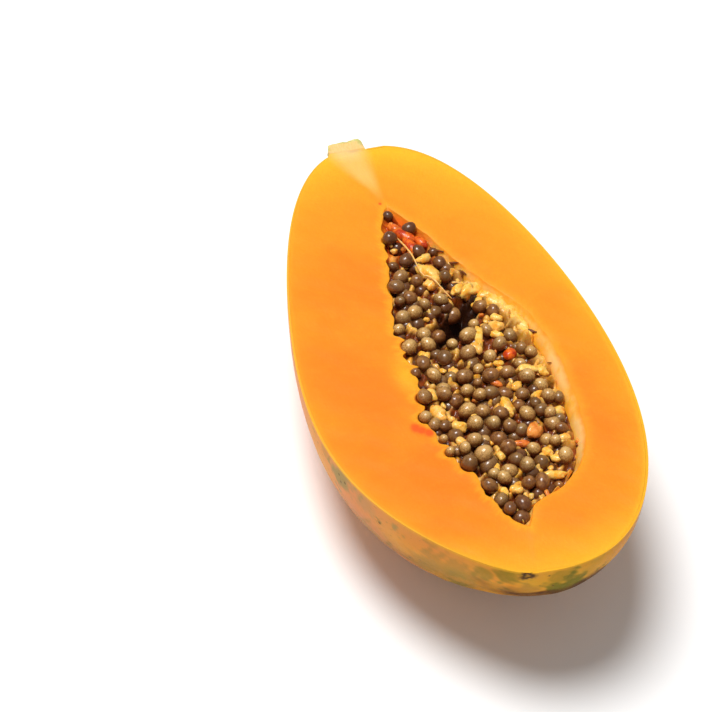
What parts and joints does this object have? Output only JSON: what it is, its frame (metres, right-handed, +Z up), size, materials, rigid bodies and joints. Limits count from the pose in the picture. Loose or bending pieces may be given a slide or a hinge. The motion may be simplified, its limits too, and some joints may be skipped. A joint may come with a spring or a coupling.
{
  "type": "papaya half",
  "caption": "Half of a ripe papaya cut lengthwise, lying on its rounded back with the cut face, seed cavity and stem stub showing.",
  "frame": {"origin": "bottom centre of the bounding box, on the ground under the half", "axes": "+X from the stem end to the blossom end, +Y to the wider side, +Z up out of the cut face"},
  "size_m": [0.1824, 0.0951, 0.053],
  "materials": {
    "flesh": "moist orange flesh, satin, with light scattered under the surface",
    "skin": "thin waxy skin, yellow-orange with green patches and dark specks",
    "pulp": "soft moist pulp and threads between the seeds",
    "stem": "pale yellow-green cut stem, fibrous",
    "seed_coat": "wet glossy grey-brown seeds in their clear coats"
  },
  "bodies": {
    "root": {"fruit_half": "flesh", "stem_stub": "stem", "seeds": "seed_coat"}
  },
  "joints": []
}
